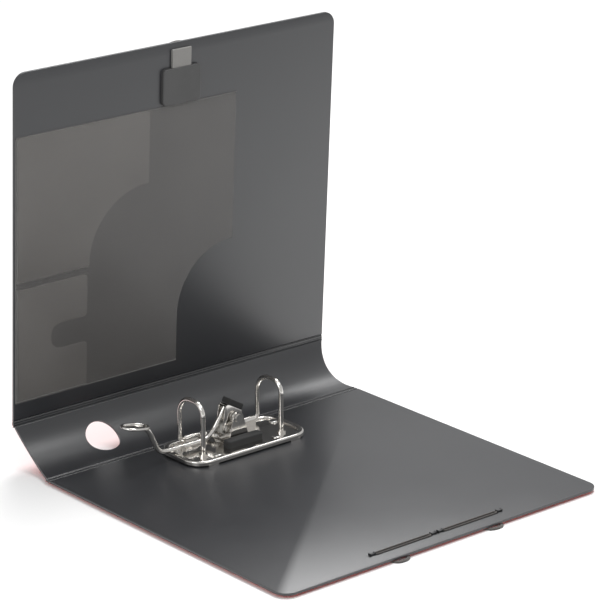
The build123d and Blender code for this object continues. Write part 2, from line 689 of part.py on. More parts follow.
# Roller that presses the crank down, and its pin
with BuildPart() as roller:
    with BuildSketch(across(LEVER_V - ROLLER_WIDTH / 2)):
        with Locations(roller_at):
            Circle(ROLLER_R)
            Circle(ROLLER_PIN_R + RUNNING, mode=Mode.SUBTRACT)
    extrude(amount=ROLLER_WIDTH)
finish(roller, "roller")

with BuildPart() as roller_pin:
    with BuildSketch(across(LEVER_V - LEVER_SIDE - CHEEK)):
        with Locations(roller_at):
            Circle(ROLLER_PIN_R)
    extrude(amount=2 * (LEVER_SIDE + CHEEK))
    for v in (LEVER_V - LEVER_SIDE - CHEEK - ROLLER_HEAD[1], LEVER_V + LEVER_SIDE + CHEEK):
        with BuildSketch(across(v)):
            with Locations(roller_at):
                Circle(ROLLER_PIN_R + ROLLER_HEAD[0])
        extrude(amount=ROLLER_HEAD[1])
finish(roller_pin, "roller_pin")
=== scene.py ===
"""Lever arch file: its finishes, films, hinges, elastic and lever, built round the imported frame."""
import json
import logging
import math
from dataclasses import dataclass, field
from enum import Enum
from typing import Iterable, Optional, Sequence, Union

import bmesh
import bpy
from mathutils import Matrix, Vector


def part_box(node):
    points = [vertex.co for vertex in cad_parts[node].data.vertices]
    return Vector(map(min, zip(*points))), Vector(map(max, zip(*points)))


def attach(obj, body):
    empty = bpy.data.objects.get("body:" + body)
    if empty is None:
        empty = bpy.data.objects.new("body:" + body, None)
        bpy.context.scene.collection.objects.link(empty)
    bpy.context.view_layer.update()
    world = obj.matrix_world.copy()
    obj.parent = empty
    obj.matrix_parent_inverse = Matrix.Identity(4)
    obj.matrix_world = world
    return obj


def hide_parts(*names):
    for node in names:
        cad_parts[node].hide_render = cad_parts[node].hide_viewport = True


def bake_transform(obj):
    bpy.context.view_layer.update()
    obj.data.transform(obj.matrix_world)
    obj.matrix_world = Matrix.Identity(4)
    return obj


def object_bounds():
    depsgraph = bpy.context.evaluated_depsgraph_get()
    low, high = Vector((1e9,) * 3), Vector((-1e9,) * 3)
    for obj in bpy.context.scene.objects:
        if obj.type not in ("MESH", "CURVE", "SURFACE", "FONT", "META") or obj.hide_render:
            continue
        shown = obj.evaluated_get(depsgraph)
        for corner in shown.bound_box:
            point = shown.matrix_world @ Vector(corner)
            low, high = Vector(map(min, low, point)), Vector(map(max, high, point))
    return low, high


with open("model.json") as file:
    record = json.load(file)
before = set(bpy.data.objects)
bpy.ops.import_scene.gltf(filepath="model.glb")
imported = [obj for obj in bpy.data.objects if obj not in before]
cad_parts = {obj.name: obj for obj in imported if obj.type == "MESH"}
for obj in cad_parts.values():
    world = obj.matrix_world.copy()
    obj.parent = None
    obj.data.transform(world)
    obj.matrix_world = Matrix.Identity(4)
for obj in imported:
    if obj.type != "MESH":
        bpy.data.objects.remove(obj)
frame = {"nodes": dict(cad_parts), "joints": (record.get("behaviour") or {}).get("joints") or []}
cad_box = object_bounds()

log = logging.getLogger("lever_arch_file")

MM = 0.001
SHARP = math.radians(33)
Colour = tuple[float, float, float]
Value = Union[float, int, "Signal"]


# ---------------------------------------------------------------- shader bench


class Signal:
    """A number that varies over a surface; arithmetic on it adds Math nodes."""

    def __init__(self, bench: "Bench", socket: bpy.types.NodeSocket) -> None:
        """Wrap a socket.

        Args:
            bench: the material's bench that makes further nodes.
            socket: the output that carries the number.
        """
        self.bench = bench
        self.socket = socket

    def _math(self, operation: str, first: Value, second: Value = 0.0) -> "Signal":
        """Return the result of one Math node on two values."""
        node = self.bench.node("ShaderNodeMath", {"operation": operation}, {0: first, 1: second})
        return Signal(self.bench, node.outputs[0])

    def __add__(self, other: Value) -> "Signal":
        """Return self + other."""
        return self._math("ADD", self, other)

    __radd__ = __add__

    def __sub__(self, other: Value) -> "Signal":
        """Return self - other."""
        return self._math("SUBTRACT", self, other)

    def __rsub__(self, other: Value) -> "Signal":
        """Return other - self."""
        return self._math("SUBTRACT", other, self)

    def __mul__(self, other: Value) -> "Signal":
        """Return self * other."""
        return self._math("MULTIPLY", self, other)

    __rmul__ = __mul__

    def sine(self) -> "Signal":
        """Return the sine of the number."""
        return self._math("SINE", self)

    def within(self, low: float, high: float) -> "Signal":
        """Return 0 at low or less, 1 at high or more, and a smooth step between."""
        settings = {"interpolation_type": "SMOOTHSTEP"}
        node = self.bench.node("ShaderNodeMapRange", settings, {0: self, 1: low, 2: high})
        return Signal(self.bench, node.outputs[0])


class Bench:
    """Lays out the nodes of one material."""

    def __init__(self, name: str) -> None:
        """Start a material with a surface shader.

        Args:
            name: the material's name.
        """
        self.material = bpy.data.materials.new(name)
        self.material.use_nodes = True
        self.tree = self.material.node_tree
        self.tree.nodes.clear()
        self.surface = self.node("ShaderNodeBsdfPrincipled")
        self.node("ShaderNodeOutputMaterial", {}, {"Surface": self.surface.outputs[0]})
        self.place = self.node("ShaderNodeTexCoord").outputs["Object"]

    def node(
        self,
        kind: str,
        settings: Optional[dict[str, object]] = None,
        sockets: Optional[dict[Union[int, str], object]] = None,
    ) -> bpy.types.Node:
        """Add a node.

        Args:
            kind: the node's type.
            settings: its own settings, set before its sockets.
            sockets: values, signals or sockets for its inputs, by name or place.

        Returns:
            The new node.
        """
        made = self.tree.nodes.new(kind)
        for key, value in (settings or {}).items():
            setattr(made, key, value)
        for key, value in (sockets or {}).items():
            if isinstance(value, Signal):
                value = value.socket
            if isinstance(value, bpy.types.NodeSocket):
                self.tree.links.new(value, made.inputs[key])
            else:
                made.inputs[key].default_value = value
        return made

    def feed(self, **sockets: object) -> None:
        """Set or link inputs of the surface shader; an underscore in a name stands for a space."""
        for key, value in sockets.items():
            target = self.surface.inputs[key.replace("_", " ")]
            if isinstance(value, Signal):
                value = value.socket
            if isinstance(value, bpy.types.NodeSocket):
                self.tree.links.new(value, target)
            else:
                target.default_value = value

    def along(self, axis: str) -> Signal:
        """Return the place along X, Y or Z, in metres."""
        parts = self.node("ShaderNodeSeparateXYZ", {}, {0: self.place})
        return Signal(self, parts.outputs[axis])

    def noise(self, size_mm: float, detail: float = 3.0, stretch: Colour = (1, 1, 1)) -> Signal:
        """Return soft noise from 0 to 1.

        Args:
            size_mm: how wide one blotch is.
            detail: how many finer layers it has.
            stretch: how much finer the noise is along each axis.

        Returns:
            The noise.
        """
        turned = self.node("ShaderNodeMapping", {}, {0: self.place, "Scale": stretch})
        sockets = {"Vector": turned.outputs[0], "Scale": 1 / (size_mm * MM), "Detail": detail}
        made = self.node("ShaderNodeTexNoise", {}, sockets)
        return Signal(self, made.outputs["Fac"])

    def ridges(self, pitch_mm: float, signal: Signal) -> Signal:
        """Return a sine wave of this pitch along a place signal."""
        return (signal * (2 * math.pi / (pitch_mm * MM))).sine()

    def mix(
        self,
        factor: Value,
        first: Union[Colour, bpy.types.NodeSocket],
        second: Union[Colour, bpy.types.NodeSocket],
    ) -> bpy.types.NodeSocket:
        """Return the socket of a mix between two colours."""
        first = (*first, 1.0) if isinstance(first, tuple) else first
        second = (*second, 1.0) if isinstance(second, tuple) else second
        made = self.node("ShaderNodeMix", {"data_type": "RGBA"}, {0: factor, 6: first, 7: second})
        return made.outputs[2]

    def bump(self, height: Signal, depth_mm: float, strength: float = 1.0) -> bpy.types.NodeSocket:
        """Return the normal of a surface raised by a height signal from 0 to 1.

        Args:
            height: the relief.
            depth_mm: how deep a height of 1 is.
            strength: how much of it is felt.

        Returns:
            The normal socket.
        """
        sockets = {"Strength": strength, "Distance": depth_mm * MM, "Height": height}
        return self.node("ShaderNodeBump", {}, sockets).outputs[0]


def tint(colour: Colour, factor: float) -> Colour:
    """Return a colour made lighter or darker by a factor."""
    return tuple(min(1.0, c * factor) for c in colour)


# ---------------------------------------------------------------- finishes


@dataclass(frozen=True)
class Finish:
    """One finish, which becomes a material the first time it is asked for."""

    name: str

    def wire(self, bench: Bench) -> None:
        """Lay out the material's nodes."""
        raise NotImplementedError

    def material(self) -> bpy.types.Material:
        """Return the finish's material, made once."""
        found = bpy.data.materials.get(self.name)
        if found is None:
            bench = Bench(self.name)
            self.wire(bench)
            found = bench.material
        return found


@dataclass(frozen=True)
class RedSheet(Finish):
    """Red polypropylene sheet with a fine woven grain, ribbed across on the spine."""

    colour: Colour = (0.66, 0.03, 0.013)
    weave_mm: float = 1.15
    rib_mm: float = 0.0
    rib_depth_mm: float = 0.07

    def wire(self, bench: Bench) -> None:
        """Lay out a crossed weave, the ribs with a painted highlight on their crowns, and slow changes of
        colour and gloss.
        """
        x, y, z = (bench.along(axis) for axis in "XYZ")
        weave = bench.ridges(self.weave_mm, x + y + z) * bench.ridges(self.weave_mm, x - y - z)
        relief = weave * 0.5 + 0.5
        depth = 0.02
        if self.rib_mm:
            ribs_and_painted_highlight = bench.ridges(self.rib_mm, x) * 0.5 + 0.5
            relief = relief * 0.15 + ribs_and_painted_highlight
            depth = self.rib_depth_mm
        haze = bench.noise(60, 4)
        grain = bench.noise(0.7, 2)
        shade = haze * 0.7 + grain * 0.3
        colour = bench.mix(shade, tint(self.colour, 0.93), tint(self.colour, 1.07))
        # painted highlight: on the spine the crowns of the ribs are mixed towards a lighter red
        if self.rib_mm:
            colour = bench.mix(ribs_and_painted_highlight * 0.3, colour, (0.74, 0.075, 0.035))
        bench.feed(Base_Color=colour, Roughness=0.36 + haze * 0.12, Specular_IOR_Level=0.42)
        bench.feed(Normal=bench.bump(relief, depth))


@dataclass(frozen=True)
class DarkBoard(Finish):
    """Dark warm grey sheet with a fine pressed grain, satin where it turns the light."""

    colour: Colour = (0.024, 0.025, 0.028)
    roughness: float = 0.3
    weave_mm: float = 1.3
    gloss: float = 0.7
    index: float = 1.55

    def wire(self, bench: Bench) -> None:
        """Lay out the pressed grain, the clouding and faint rub marks."""
        x, y, z = (bench.along(axis) for axis in "XYZ")
        weave = bench.ridges(self.weave_mm, x) * bench.ridges(self.weave_mm, y + z)
        grain = bench.noise(0.55, 3)
        relief = weave * 0.3 + grain
        haze = bench.noise(75, 3)
        rubbed = bench.noise(9, 4, (0.25, 1, 1)).within(0.62, 0.85)
        shade = haze * 0.6 + grain * 0.4
        colour = bench.mix(shade, tint(self.colour, 0.86), tint(self.colour, 1.14))
        worn = bench.mix(rubbed * 0.18, colour, tint(self.colour, 1.7))
        bench.feed(Base_Color=worn, Roughness=self.roughness + haze * 0.1 + rubbed * 0.04)
        bench.feed(Specular_IOR_Level=self.gloss, IOR=self.index, Normal=bench.bump(relief, 0.03))


@dataclass(frozen=True)
class Moulded(Finish):
    """Moulded plastic with a spark-eroded grain and slightly rubbed high spots."""

    colour: Colour = (0.02, 0.02, 0.021)
    roughness: float = 0.42
    grain_mm: float = 0.45
    depth_mm: float = 0.02

    def wire(self, bench: Bench) -> None:
        """Lay out the grain, the clouding and the rub marks."""
        grain = bench.noise(self.grain_mm, 3)
        haze = bench.noise(14, 3)
        rubbed = bench.noise(5, 4).within(0.6, 0.8)
        colour = bench.mix(haze, tint(self.colour, 0.85), tint(self.colour, 1.18))
        worn = bench.mix(rubbed * 0.25, colour, tint(self.colour, 1.6))
        bench.feed(Base_Color=worn, Roughness=self.roughness + grain * 0.12 - rubbed * 0.06)
        bench.feed(Normal=bench.bump(grain, self.depth_mm))


@dataclass(frozen=True)
class Plating(Finish):
    """Bright nickel plate with drawing lines, handling haze and a few scratches."""

    colour: Colour = (0.73, 0.71, 0.68)
    roughness: float = 0.1

    def wire(self, bench: Bench) -> None:
        """Lay out the haze, the fine lines and the scratches."""
        haze = bench.noise(11, 4)
        lines = bench.noise(0.5, 2, (0.06, 1, 1))
        scratch = bench.noise(1.6, 5, (1, 0.12, 1)).within(0.66, 0.74)
        colour = bench.mix(haze, tint(self.colour, 0.9), tint(self.colour, 1.08))
        bench.feed(Base_Color=colour, Metallic=1.0)
        bench.feed(Roughness=self.roughness + haze * 0.07 + scratch * 0.1)
        bench.feed(Normal=bench.bump(lines * 0.7 + scratch * 0.3, 0.004, 0.3))


@dataclass(frozen=True)
class FrostedFilm(Finish):
    """Dark frosted film, seen through in part, with flow lines and a soft gloss."""

    colour: Colour = (0.125, 0.12, 0.116)
    alpha: float = 0.5
    roughness: float = 0.3

    def wire(self, bench: Bench) -> None:
        """Lay out the frosting, its slow waves and its see-through share."""
        haze = bench.noise(50, 3)
        waves = bench.noise(38, 2, (1, 1, 0.4))
        colour = bench.mix(haze, tint(self.colour, 0.8), tint(self.colour, 1.25))
        bench.feed(Base_Color=colour, Roughness=self.roughness + haze * 0.12, Alpha=self.alpha)
        bench.feed(Normal=bench.bump(waves, 0.5, 0.3), Specular_IOR_Level=0.75)


@dataclass(frozen=True)
class ClearFilm(Finish):
    """Clear glossy film that all but vanishes over what it covers."""

    alpha: float = 0.12

    def wire(self, bench: Bench) -> None:
        """Lay out a near clear sheet with faint waves."""
        waves = bench.noise(14, 2)
        colour = bench.mix(waves, (0.9, 0.92, 0.93), (1.0, 1.0, 1.0))
        bench.feed(Base_Color=colour, Roughness=0.08 + waves * 0.1, Alpha=self.alpha)
        bench.feed(Normal=bench.bump(waves, 0.12, 0.4))


@dataclass(frozen=True)
class Card(Finish):
    """Uncoated white card with a little fibre in it."""

    colour: Colour = (0.8, 0.8, 0.77)

    def wire(self, bench: Bench) -> None:
        """Lay out the fibre and a slight yellowing."""
        fibre = bench.noise(1.2, 4, (0.3, 1, 1))
        haze = bench.noise(30, 2)
        colour = bench.mix(haze * 0.5 + fibre * 0.5, tint(self.colour, 0.95), tint(self.colour, 1.04))
        bench.feed(Base_Color=colour, Roughness=0.62 + fibre * 0.1, Normal=bench.bump(fibre, 0.015))


@dataclass(frozen=True)
class Woven(Finish):
    """Woven tape or braided elastic: two crossed families of threads."""

    colour: Colour = (0.23, 0.225, 0.215)
    thread_mm: float = 0.9
    slant: float = 0.0
    depth_mm: float = 0.16

    def wire(self, bench: Bench) -> None:
        """Lay out the threads, with painted shade in the hollows between them and a painted highlight on
        their crowns.
        """
        x, y, z = (bench.along(axis) for axis in "XYZ")
        run = y + z
        first = bench.ridges(self.thread_mm, x + run * self.slant)
        second = bench.ridges(self.thread_mm * 1.2, run - x * self.slant)
        crown_relief_and_shade = (first * second) * 0.5 + 0.5
        fuzz = bench.noise(0.5, 4)
        relief = crown_relief_and_shade * 0.8 + fuzz * 0.2
        # painted shade and highlight: the relief darkens the hollows between threads and lightens their
        # crowns
        colour = bench.mix(relief, tint(self.colour, 0.55), tint(self.colour, 1.3))
        bench.feed(Base_Color=colour, Roughness=0.82 + fuzz * 0.12, Sheen_Weight=0.25)
        bench.feed(Normal=bench.bump(relief, self.depth_mm))


class Finishes(Enum):
    """Every finish on the file."""

    COVER = RedSheet("red_cover_sheet")
    SPINE = RedSheet("red_ribbed_spine", rib_mm=2.8)
    # partly stress whitening, partly painted highlight: the hinge strips' red is lighter than the covers'
    # for the bright lines along the grooves
    CREASE_WHITENED_AND_HIGHLIGHT = RedSheet("red_crease_whitened_and_highlight", colour=(0.72, 0.075, 0.035), weave_mm=2.0)
    LINING = DarkBoard("dark_lining")
    SPINE_LINING = DarkBoard("dark_spine_lining", roughness=0.28)
    # painted shade: the board of the hinge strips is a little darker than the lining, for the shade in the
    # folds
    CREASE_LINING_PAINTED_SHADE = DarkBoard("dark_crease_painted_shade", colour=(0.02, 0.021, 0.023), roughness=0.2)
    FILM = FrostedFilm("dark_frosted_film")
    UPPER_FILM = FrostedFilm("dark_frosted_film_upper", colour=(0.2, 0.19, 0.18), alpha=0.35)
    WELD = Moulded("film_weld", colour=(0.11, 0.108, 0.105), roughness=0.26, depth_mm=0.01)
    CLEAR = ClearFilm("clear_label_film")
    LABEL_RIM = Moulded("label_rim", colour=(0.13, 0.15, 0.16), roughness=0.35)
    CARD = Card("white_card")
    RULE = Moulded("grey_rule_line", colour=(0.2, 0.2, 0.2), roughness=0.6)
    RING = Moulded("taupe_ring", colour=(0.07, 0.062, 0.056), roughness=0.4)
    PLATE = Moulded("dark_plate", colour=(0.05, 0.05, 0.05), roughness=0.36)
    STRAP = Woven("grey_strap")
    ELASTIC = Woven("braided_elastic", colour=(0.085, 0.076, 0.07), thread_mm=0.8, slant=1.0)
    CLIP = Moulded("black_clip", colour=(0.022, 0.022, 0.024), roughness=0.3)
    CHROME = Plating("nickel_plate")
    RIVET = Plating("rivet_plate", colour=(0.66, 0.65, 0.63), roughness=0.18)
    SPRING = Plating("spring_wire", colour=(0.5, 0.49, 0.47), roughness=0.25)
    BLACK = Moulded("black_plastic")
    NYLON = Moulded("pale_nylon", colour=(0.5, 0.49, 0.46), roughness=0.4)

    @property
    def material(self) -> bpy.types.Material:
        """The finish's material."""
        return self.value.material()


# ---------------------------------------------------------------- meshes


def square_to(origin: Vector, normal: Vector) -> Matrix:
    """Return the matrix of a plane through origin, with local x along X and local z along normal."""
    side = Vector((1, 0, 0))
    up = normal.cross(side)
    turn = Matrix((side, up, normal)).transposed().to_4x4()
    return Matrix.Translation(origin) @ turn


def flat_face(bm: bmesh.types.BMesh, corners: Iterable[Sequence[float]]) -> list[bmesh.types.BMVert]:
    """Add one flat face from its corners, in millimetres on the local plane, and return its vertices."""
    verts = [bm.verts.new((x * MM, y * MM, 0)) for x, y in corners]
    bm.faces.new(verts)
    return verts


def round_corner(bm: bmesh.types.BMesh, vert: bmesh.types.BMVert, radius_mm: float, steps: int = 8) -> None:
    """Round one corner of a flat face."""
    bmesh.ops.bevel(bm, geom=[vert], offset=radius_mm * MM, segments=steps, affect="VERTICES", profile=0.5)


def thicken(bm: bmesh.types.BMesh, height_mm: float, edge_mm: float = 0.0) -> None:
    """Extrude every face of a flat sheet up to a height, then ease its long edges.

    Args:
        bm: the flat sheet.
        height_mm: the thickness, along local z.
        edge_mm: the easing of the edges between the faces and the rim.
    """
    base = list(bm.faces)
    made = bmesh.ops.extrude_face_region(bm, geom=base, use_keep_orig=True)
    moved = [v for v in made["geom"] if isinstance(v, bmesh.types.BMVert)]
    bmesh.ops.translate(bm, verts=moved, vec=(0, 0, height_mm * MM))
    bmesh.ops.recalc_face_normals(bm, faces=bm.faces)
    if edge_mm:
        rim = [e for e in bm.edges if len(e.link_faces) == 2 and e.calc_face_angle() > math.radians(60)]
        rim = [e for e in rim if abs((e.verts[0].co - e.verts[1].co).z) < 1e-7]
        bmesh.ops.bevel(
            bm, geom=rim, offset=edge_mm * MM, segments=2, affect="EDGES", profile=0.5, material=-1
        )


def make_piece(
    bm: bmesh.types.BMesh, name: str, finish: Finishes, body: str, hides: Sequence[str] = ()
) -> bpy.types.Object:
    """Turn a finished bmesh into a piece of the file.

    Args:
        bm: the mesh, already in the row frame.
        name: the piece's name.
        finish: its finish.
        body: the body that it rides on.
        hides: the frame's own nodes that it stands for.

    Returns:
        The piece.
    """
    if not bm.faces:
        raise ValueError(f"{name} has no faces")
    bmesh.ops.remove_doubles(bm, verts=bm.verts, dist=1e-6)
    bmesh.ops.recalc_face_normals(bm, faces=bm.faces)
    for face in bm.faces:
        face.smooth = True
    for edge in bm.edges:
        edge.smooth = len(edge.link_faces) == 2 and edge.calc_face_angle() < SHARP
    mesh = bpy.data.meshes.new(name)
    bm.to_mesh(mesh)
    bm.free()
    piece = bpy.data.objects.new(name, mesh)
    bpy.context.collection.objects.link(piece)
    mesh.materials.append(finish.material)
    if body:
        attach(piece, body)
    if hides:
        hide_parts(*hides)
    log.info("%s: %d faces on %s", name, len(mesh.polygons), body or "two bodies")
    return piece


def rod_mesh(
    points: Sequence[Vector], radius_mm: float, closed: bool = False, sides: int = 6, steps: int = 8
) -> bmesh.types.BMesh:
    """Return a round rod that follows a smooth line led by a few points.

    Args:
        points: the points that lead the line, in the row frame.
        radius_mm: the rod's radius.
        closed: whether the line is a loop.
        sides: half the number of faces round the rod, less two.
        steps: how finely each span is divided.

    Returns:
        The rod's mesh.
    """
    curve = bpy.data.curves.new("rod_line", "CURVE")
    curve.dimensions = "3D"
    curve.bevel_depth = radius_mm * MM
    curve.bevel_resolution = sides
    curve.use_fill_caps = not closed
    spline = curve.splines.new("NURBS")
    spline.points.add(len(points) - 1)
    for place, point in zip(spline.points, points):
        place.co = (*point, 1.0)
    spline.order_u = 3
    spline.use_endpoint_u = not closed
    spline.use_cyclic_u = closed
    spline.resolution_u = steps
    holder = bpy.data.objects.new("rod_line", curve)
    bm = bmesh.new()
    mesh = bpy.data.meshes.new_from_object(holder)
    bm.from_mesh(mesh)
    bpy.data.objects.remove(holder)
    bpy.data.curves.remove(curve)
    bpy.data.meshes.remove(mesh)
    return bm


def join(bm: bmesh.types.BMesh, other: bmesh.types.BMesh) -> None:
    """Add another mesh to a mesh and free it."""
    mesh = bpy.data.meshes.new("joined")
    other.to_mesh(mesh)
    other.free()
    bm.from_mesh(mesh)
    bpy.data.meshes.remove(mesh)


# ---------------------------------------------------------------- the file's geometry


@dataclass
class FileShape:
    """The lines that every part of the file is laid out from."""

    height: float = 318.0
    depth: float = 286.0
    chord: float = 57.0
    sagitta: float = 10.0
    spine_open: float = 143.0
    cover_open: float = 124.0
    board: float = 2.5
    hinge_gap: float = 3.0
    scoop: float = 6.0
    back_line: Vector = field(init=False)
    front_line: Vector = field(init=False)

    def __post_init__(self) -> None:
        """Read the hinge lines from the frame's joints and work out the spine's arc."""
        joints = {joint["name"]: joint for joint in frame["joints"]}
        self.back_line = Vector(joints["spine_hinge"]["pos_m"])
        self.front_line = Vector(joints["cover_hinge"]["pos_m"])
        self.radius = (self.chord**2 / 4 + self.sagitta**2) / (2 * self.sagitta)
        self.half_angle = math.asin(self.chord / 2 / self.radius)
        self.crown_angle = math.radians(90 - self.spine_open)
        middle = (self.back_line + self.front_line) / 2
        outwards = self.heading(self.spine_open + 90)
        self.spine_centre = middle - outwards * (self.radius - self.sagitta) * MM
        self.front_heading = self.spine_open + self.cover_open - 180

    @staticmethod
    def heading(angle: float) -> Vector:
        """Return the unit vector square to X, turned by degrees from the back cover's direction."""
        turn = math.radians(angle)
        return Vector((0, -math.cos(turn), math.sin(turn)))

    def back_plane(self, height_mm: float) -> Matrix:
        """Return the back cover's plane; local -y runs to the fore-edge."""
        normal = self.heading(90)
        return square_to(self.back_line + normal * height_mm * MM, normal)

    def front_plane(self, height_mm: float) -> Matrix:
        """Return the front cover's plane; local y runs to the fore-edge."""
        normal = self.heading(self.front_heading - 90)
        return square_to(self.front_line + normal * height_mm * MM, normal)

    def on_spine(self, place: Vector) -> Vector:
        """Return the place in the row frame of (x, way round, height) on the spine's middle surface."""
        angle = self.crown_angle + place.y / (self.radius * MM)
        reach = self.radius * MM + place.z
        return Vector((
            place.x,
            self.spine_centre.y + reach * math.cos(angle),
            self.spine_centre.z + reach * math.sin(angle),
        ))

    def wrap(self, bm: bmesh.types.BMesh, cut_mm: float = 2.5) -> None:
        """Cut a flat sheet into strips along the spine and bend it round the spine."""
        reach = max(abs(v.co.y) for v in bm.verts)
        steps = int(reach / (cut_mm * MM))
        for step in range(-steps, steps + 1):
            everything = [*bm.verts, *bm.edges, *bm.faces]
            place = (0, step * cut_mm * MM, 0)
            bmesh.ops.bisect_plane(bm, geom=everything, dist=1e-7, plane_co=place, plane_no=(0, 1, 0))
        for vert in bm.verts:
            vert.co = self.on_spine(vert.co)


@dataclass
class Covers:
    """The two covers: a thin red skin on a dark board, with rounded fore-edge corners."""

    shape: FileShape
    skin: float = 0.35
    inset: float = 0.6
    corner: float = 11.0
    edge: float = 0.3

    def panel(
        self, name: str, front: bool, low: float, thick: float, inset: float, finish: Finishes
    ) -> None:
        """Build one layer of a cover.

        Args:
            name: the piece's name, which is also the node that it stands for.
            front: whether it is on the front cover.
            low: its lower face, from the middle of the board.
            thick: its thickness.
            inset: how far its free edges stand back from the board's.
            finish: its finish.
        """
        shape = self.shape
        way = 1 if front else -1
        half = shape.height / 2 - inset
        near, far = way * shape.hinge_gap, way * (shape.depth - inset)
        bm = bmesh.new()
        verts = flat_face(bm, ((-half, near), (half, near), (half, far), (-half, far)))
        for vert in verts[2:]:
            round_corner(bm, vert, self.corner, 10)
        thicken(bm, thick, min(self.edge, thick * 0.4))
        plane = shape.front_plane(low) if front else shape.back_plane(low)
        bmesh.ops.transform(bm, matrix=plane, verts=bm.verts)
        make_piece(bm, f"{name}_sheet", finish, "front_cover" if front else "back_cover", [name])

    def build(self) -> None:
        """Build both layers of both covers."""
        half = self.shape.board / 2
        for front, side in ((False, "back"), (True, "front")):
            self.panel(
                f"{side}_cover_skin", front, -half, self.skin, self.inset, Finishes.COVER
            )
            top = self.shape.board - self.skin
            self.panel(f"{side}_cover_lining", front, self.skin - half, top, 0, Finishes.LINING)


@dataclass
class Spine:
    """The curved spine with scooped ends and its finger hole."""

    shape: FileShape
    skin: float = 0.35
    hole_x: float = -85.0
    hole_radius: float = 14.75
    hole_steps: int = 48
    inset: float = 0.5

    def layer(
        self, name: str, low: float, thick: float, inset: float, finish: Finishes
    ) -> None:
        """Build one layer of the spine.

        Args:
            name: the node that it stands for.
            low: its inner face, from the middle of the board, outwards.
            thick: its thickness.
            inset: how far its free edges stand back from the board's.
            finish: its finish.
        """
        shape = self.shape
        half_x = shape.height / 2 - inset
        half_s = shape.radius * shape.half_angle - shape.hinge_gap
        scoop_r = (shape.chord**2 / 4 + shape.scoop**2) / (2 * shape.scoop)
        turns = 16
        bm = bmesh.new()
        rim = []
        for side in (-1, 1):
            for step in range(turns + 1):
                s = side * half_s * (2 * step / turns - 1)
                across = shape.radius * math.sin(s / shape.radius)
                dip = math.sqrt(scoop_r**2 - across**2) - scoop_r + shape.scoop
                rim.append(bm.verts.new((side * (half_x - max(0.0, dip)) * MM, s * MM, 0)))
        loop = [bm.edges.new((rim[i], rim[(i + 1) % len(rim)])) for i in range(len(rim))]
        hole = bmesh.ops.create_circle(bm, segments=self.hole_steps, radius=(self.hole_radius + inset) * MM)
        bmesh.ops.translate(bm, verts=hole["verts"], vec=(self.hole_x * MM, 0, 0))
        ring = {e for v in hole["verts"] for e in v.link_edges}
        bmesh.ops.triangle_fill(bm, use_beauty=True, edges=[*loop, *ring])
        thicken(bm, thick)
        bmesh.ops.translate(bm, verts=bm.verts, vec=(0, 0, low * MM))
        shape.wrap(bm)
        make_piece(bm, f"{name}_sheet", finish, "spine", [name])

    def build(self) -> None:
        """Build the dark board and the red skin of the spine."""
        half = self.shape.board / 2
        board = self.shape.board - self.skin
        self.layer("spine_lining", -half, board, 0, Finishes.SPINE_LINING)
        self.layer("spine_skin", half - self.skin, self.skin, self.inset, Finishes.SPINE)


@dataclass
class LivingHinge:
    """One thin creased strip between a cover and the spine, built curved in its rest shape and put on no
    body.
    """

    shape: FileShape
    name: str
    front: bool
    skin: float = 0.35
    groove: float = 0.62
    groove_at: float = 2.0
    groove_width: float = 0.5
    waist: float = 0.25
    steps: int = 32

    def station(self, s: float) -> tuple[Vector, Vector]:
        """Return the middle line's place and its inward normal.

        Args:
            s: the way across, from the cover's edge (minus) to the spine's edge (plus), in mm.

        Returns:
            The place and the normal.
        """
        shape = self.shape
        line = shape.front_line if self.front else shape.back_line
        cover = shape.heading(shape.front_heading) if self.front else shape.heading(0)
        cover_normal = shape.heading(shape.front_heading - 90) if self.front else shape.heading(90)
        way = -1 if self.front else 1
        angle = shape.crown_angle - way * (shape.half_angle - max(s, 0) / shape.radius)
        outwards = Vector((0, math.cos(angle), math.sin(angle)))
        place = line - cover * s * MM if s < 0 else shape.spine_centre + outwards * shape.radius * MM
        share = min(1.0, max(0.0, s / 2 + 0.5))
        normal = (cover_normal * (1 - share) - outwards * share).normalized()
        return place, normal

    def depth_at(self, s: float) -> float:
        """Return how far the surface is sunk at s: two grooves and a slightly lower waist."""
        dip = math.exp(-(((abs(s) - self.groove_at) / self.groove_width) ** 2))
        waist = self.waist * (1 - min(1.0, (abs(s) / self.shape.hinge_gap)) ** 4)
        return self.groove * dip + waist

    def strip(self, suffix: str, outer: bool, finish: Finishes, hides: Sequence[str]) -> None:
        """Build the red or the dark face of the strip.

        Args:
            suffix: the end of the piece's name.
            outer: whether it is the outside.
            finish: its finish.
            hides: the frame's node that it stands for.
        """
        half = self.shape.board / 2
        seam = self.skin - half
        gap = self.shape.hinge_gap
        face, back = [], []
        for step in range(self.steps + 1):
            s = gap * (2 * step / self.steps - 1)
            place, normal = self.station(s)
            sunk = self.depth_at(s)
            low = min(-half + sunk, -0.45)
            high = max(half - sunk, -0.1)
            middle = max(seam, low + 0.1)
            face.append(place + normal * (low if outer else high) * MM)
            back.append(place + normal * middle * MM)
        bm = bmesh.new()
        across = Vector((self.shape.height * MM, 0, 0))
        start = Vector((-self.shape.height / 2 * MM, 0, 0))
        ring = [bm.verts.new(point + start) for point in [*face, *reversed(back)]]
        bm.faces.new(ring)
        made = bmesh.ops.extrude_face_region(bm, geom=list(bm.faces), use_keep_orig=True)
        moved = [v for v in made["geom"] if isinstance(v, bmesh.types.BMVert)]
        bmesh.ops.translate(bm, verts=moved, vec=across)
        piece = make_piece(bm, f"{self.name}_{suffix}", finish, "", hides)
        first, last = self.station(-gap * 0.8)[0], self.station(gap * 0.8)[0]
        if self.front:
            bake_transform(piece)
        else:
            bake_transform(piece)

    def build(self) -> None:
        """Build both faces."""
        # the red face is a lighter red, partly stress whitening and partly a painted highlight along the
        # grooves
        self.strip("skin", True, Finishes.CREASE_WHITENED_AND_HIGHLIGHT, [self.name])
        # the dark face is darker than the lining: painted shade in the folds
        self.strip("lining", False, Finishes.CREASE_LINING_PAINTED_SHADE, [])


